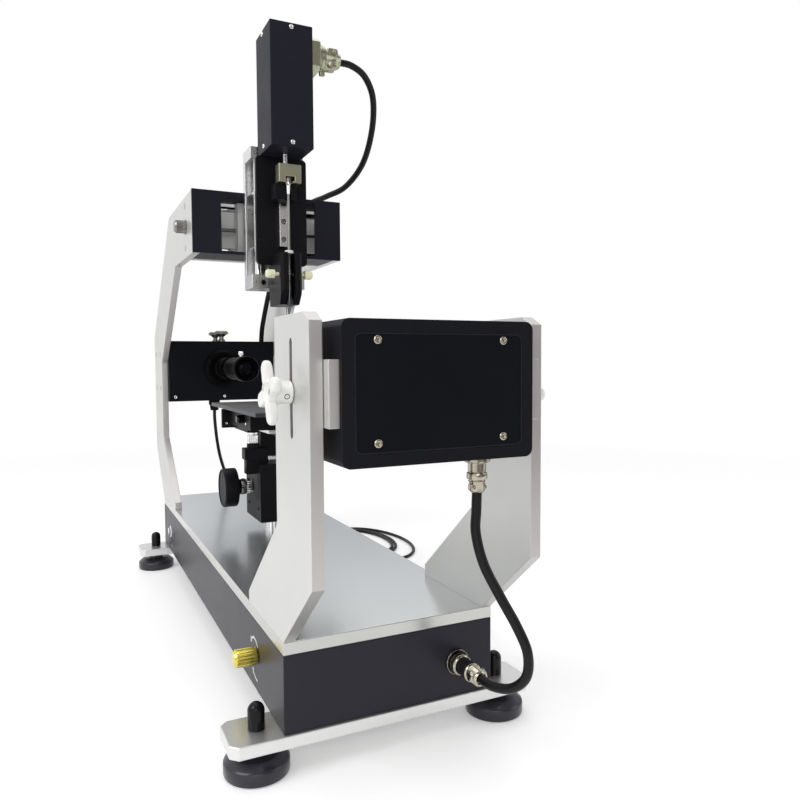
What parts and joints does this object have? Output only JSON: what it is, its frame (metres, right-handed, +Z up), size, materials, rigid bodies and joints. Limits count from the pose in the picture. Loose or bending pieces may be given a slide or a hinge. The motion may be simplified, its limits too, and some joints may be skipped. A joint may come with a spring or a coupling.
{
  "type": "contact angle tester",
  "caption": "Bench contact angle tester: light box on front uprights, motor syringe on two slides, lifting sample table and a camera with lens between C-shaped rear plates.",
  "frame": {"origin": "middle of the instrument's outline at floor level, under the feet", "axes": "+X to the right seen from the light box end, +Y from the light box towards the camera, +Z up"},
  "size_m": [0.4287, 0.8027, 0.666],
  "materials": {
    "black_anodised": "satin",
    "black_box": "satin",
    "base_paint": "satin",
    "silver_anodised": "satin",
    "bright_steel": "polished",
    "nickel": "polished nickel",
    "gold": "polished",
    "foot_rubber": "matte",
    "white_plastic": "gloss",
    "cream_nylon": "satin",
    "opal": "satin",
    "clear_glass": "polished",
    "lens_black": "satin",
    "cable_black": "satin"
  },
  "bodies": {
    "frame": {"base_body": "base_paint", "top_plate": "silver_anodised", "foot_bars": "silver_anodised", "upright_l": "silver_anodised", "upright_r": "silver_anodised", "rear_plate_l": "silver_anodised", "rear_plate_r": "silver_anodised", "slide_cover": "black_anodised", "slide_back": "silver_anodised", "slide_rods": "bright_steel", "camera_box": "black_box", "lens_mount": "lens_black", "stage_post": "bright_steel", "base_jack": "nickel", "light_cable": "cable_black", "motor_cable": "cable_black", "camera_cable": "cable_black", "camera_coil": "cable_black", "usb_plug": "lens_black"},
    "foot_fl": {"foot_fl": "foot_rubber"},
    "foot_fr": {"foot_fr": "foot_rubber"},
    "foot_rl": {"foot_rl": "foot_rubber"},
    "foot_rr": {"foot_rr": "foot_rubber"},
    "light": {"light_box": "black_box", "light_panel": "black_anodised", "light_window": "opal", "light_blocks": "silver_anodised", "box_jack": "nickel"},
    "star_l": {"star_knob_l": "white_plastic"},
    "star_r": {"star_knob_r": "white_plastic"},
    "cross": {"cross_carriage": "silver_anodised", "z_frame": "silver_anodised", "z_rods": "bright_steel"},
    "cross_screw": {"cross_screw": "nickel"},
    "z_screw": {"z_screw": "nickel"},
    "head": {"z_carriage": "silver_anodised", "syringe_plate": "black_anodised", "syringe_rail": "bright_steel", "syringe_holder": "black_box", "syringe": "clear_glass", "motor_box": "black_box", "motor_jack": "nickel"},
    "thumb_l": {"thumb_l": "cream_nylon"},
    "thumb_r": {"thumb_r": "cream_nylon"},
    "pusher": {"pusher": "black_anodised", "plunger_clamp": "nickel", "plunger": "bright_steel", "feed_screw": "bright_steel"},
    "lens": {"lens_barrel": "lens_black"},
    "camera_screw_f": {"camera_screw_f": "nickel"},
    "camera_screw_r": {"camera_screw_r": "nickel"},
    "lift": {"lift_body": "black_anodised"},
    "lift_knob": {"lift_knob": "lens_black"},
    "lift_lock": {"lift_lock": "bright_steel"},
    "stage_mid": {"stage_mid": "black_anodised", "stage_slide": "silver_anodised"},
    "table": {"table": "black_anodised"},
    "table_knob": {"table_knob": "bright_steel"},
    "brightness": {"brightness_knob": "gold"},
    "button": {"power_button": "bright_steel"}
  },
  "joints": [
    {"name": "foot_fl_turn", "type": "hinge", "parent": "frame", "child": "foot_fl", "pos_m": [-0.106, -0.297, 0], "axis": [0, 0, 1], "continuous": true},
    {"name": "foot_fr_turn", "type": "hinge", "parent": "frame", "child": "foot_fr", "pos_m": [0.106, -0.297, 0], "axis": [0, 0, 1], "continuous": true},
    {"name": "foot_rl_turn", "type": "hinge", "parent": "frame", "child": "foot_rl", "pos_m": [-0.106, 0.303, 0], "axis": [0, 0, 1], "continuous": true},
    {"name": "foot_rr_turn", "type": "hinge", "parent": "frame", "child": "foot_rr", "pos_m": [0.106, 0.303, 0], "axis": [0, 0, 1], "continuous": true},
    {"name": "light_height", "type": "slide", "parent": "frame", "child": "light", "axis": [0, 0, 1], "range_m": [-0.026, 0.032], "deforming": ["light_cable"]},
    {"name": "star_l_turn", "type": "hinge", "parent": "light", "child": "star_l", "pos_m": [-0.09, -0.34525, 0.287], "axis": [-1, 0, 0], "range_deg": [-270, 270]},
    {"name": "star_r_turn", "type": "hinge", "parent": "light", "child": "star_r", "pos_m": [0.09, -0.34525, 0.287], "axis": [1, 0, 0], "range_deg": [-270, 270]},
    {"name": "cross_travel", "type": "slide", "parent": "frame", "child": "cross", "axis": [1, 0, 0], "range_m": [-0.028, 0.028], "deforming": ["motor_cable"]},
    {"name": "cross_screw_turn", "type": "hinge", "parent": "frame", "child": "cross_screw", "pos_m": [-0.09, 0.073, 0.47], "axis": [1, 0, 0], "range_deg": [-2600, 2600]},
    {"name": "head_height", "type": "slide", "parent": "cross", "child": "head", "axis": [0, 0, 1], "range_m": [-0.025, 0.035], "deforming": ["motor_cable"]},
    {"name": "z_screw_turn", "type": "hinge", "parent": "cross", "child": "z_screw", "pos_m": [0, 0.002, 0.551], "axis": [0, 0, 1], "range_deg": [-2300, 3200]},
    {"name": "thumb_l_turn", "type": "hinge", "parent": "head", "child": "thumb_l", "pos_m": [-0.02, -0.051, 0.404], "axis": [-1, 0, 0], "range_deg": [-180, 180]},
    {"name": "thumb_r_turn", "type": "hinge", "parent": "head", "child": "thumb_r", "pos_m": [0.02, -0.051, 0.404], "axis": [1, 0, 0], "range_deg": [-180, 180]},
    {"name": "plunger_travel", "type": "slide", "parent": "head", "child": "pusher", "axis": [0, 0, 1], "range_m": [-0.048, 0.012]},
    {"name": "lens_turn", "type": "hinge", "parent": "frame", "child": "lens", "pos_m": [0, 0.298, 0.299], "axis": [0, 1, 0], "range_deg": [-120, 120]},
    {"name": "camera_screw_f_turn", "type": "hinge", "parent": "frame", "child": "camera_screw_f", "pos_m": [0.002, 0.323, 0.339], "axis": [0, 0, 1], "range_deg": [-180, 180]},
    {"name": "camera_screw_r_turn", "type": "hinge", "parent": "frame", "child": "camera_screw_r", "pos_m": [0.002, 0.371, 0.339], "axis": [0, 0, 1], "range_deg": [-180, 180]},
    {"name": "lift_height", "type": "slide", "parent": "frame", "child": "lift", "axis": [0, 0, 1], "range_m": [-0.012, 0.02]},
    {"name": "lift_knob_turn", "type": "hinge", "parent": "lift", "child": "lift_knob", "pos_m": [-0.02, 0.0545, 0.155], "axis": [1, 0, 0], "range_deg": [-120, 200]},
    {"name": "lift_lock_turn", "type": "hinge", "parent": "lift", "child": "lift_lock", "pos_m": [-0.024, 0.027, 0.2105], "axis": [0, 0, 1], "range_deg": [-180, 180]},
    {"name": "stage_y_travel", "type": "slide", "parent": "lift", "child": "stage_mid", "axis": [0, 1, 0], "range_m": [-0.01, 0.01]},
    {"name": "stage_x_travel", "type": "slide", "parent": "stage_mid", "child": "table", "axis": [1, 0, 0], "range_m": [-0.012, 0.012]},
    {"name": "table_knob_turn", "type": "hinge", "parent": "stage_mid", "child": "table_knob", "pos_m": [-0.057, -0.065, 0.2478], "axis": [1, 0, 0], "range_deg": [-1100, 1100]},
    {"name": "brightness_turn", "type": "hinge", "parent": "frame", "child": "brightness", "pos_m": [-0.09, -0.238, 0.0635], "axis": [-1, 0, 0], "range_deg": [-150, 150]},
    {"name": "button_press", "type": "slide", "parent": "frame", "child": "button", "axis": [1, 0, 0], "range_m": [0, 0.003], "stiffness_N_per_m": 300, "springref_m": -0.003}
  ],
  "couplings": [
    {"joint": "cross_screw_turn", "follows": "cross_travel", "rad_per_m": 1570.8},
    {"joint": "z_screw_turn", "follows": "head_height", "rad_per_m": 1570.8},
    {"joint": "lift_knob_turn", "follows": "lift_height", "rad_per_m": 166.67},
    {"joint": "table_knob_turn", "follows": "stage_x_travel", "rad_per_m": 1570.8}
  ]
}
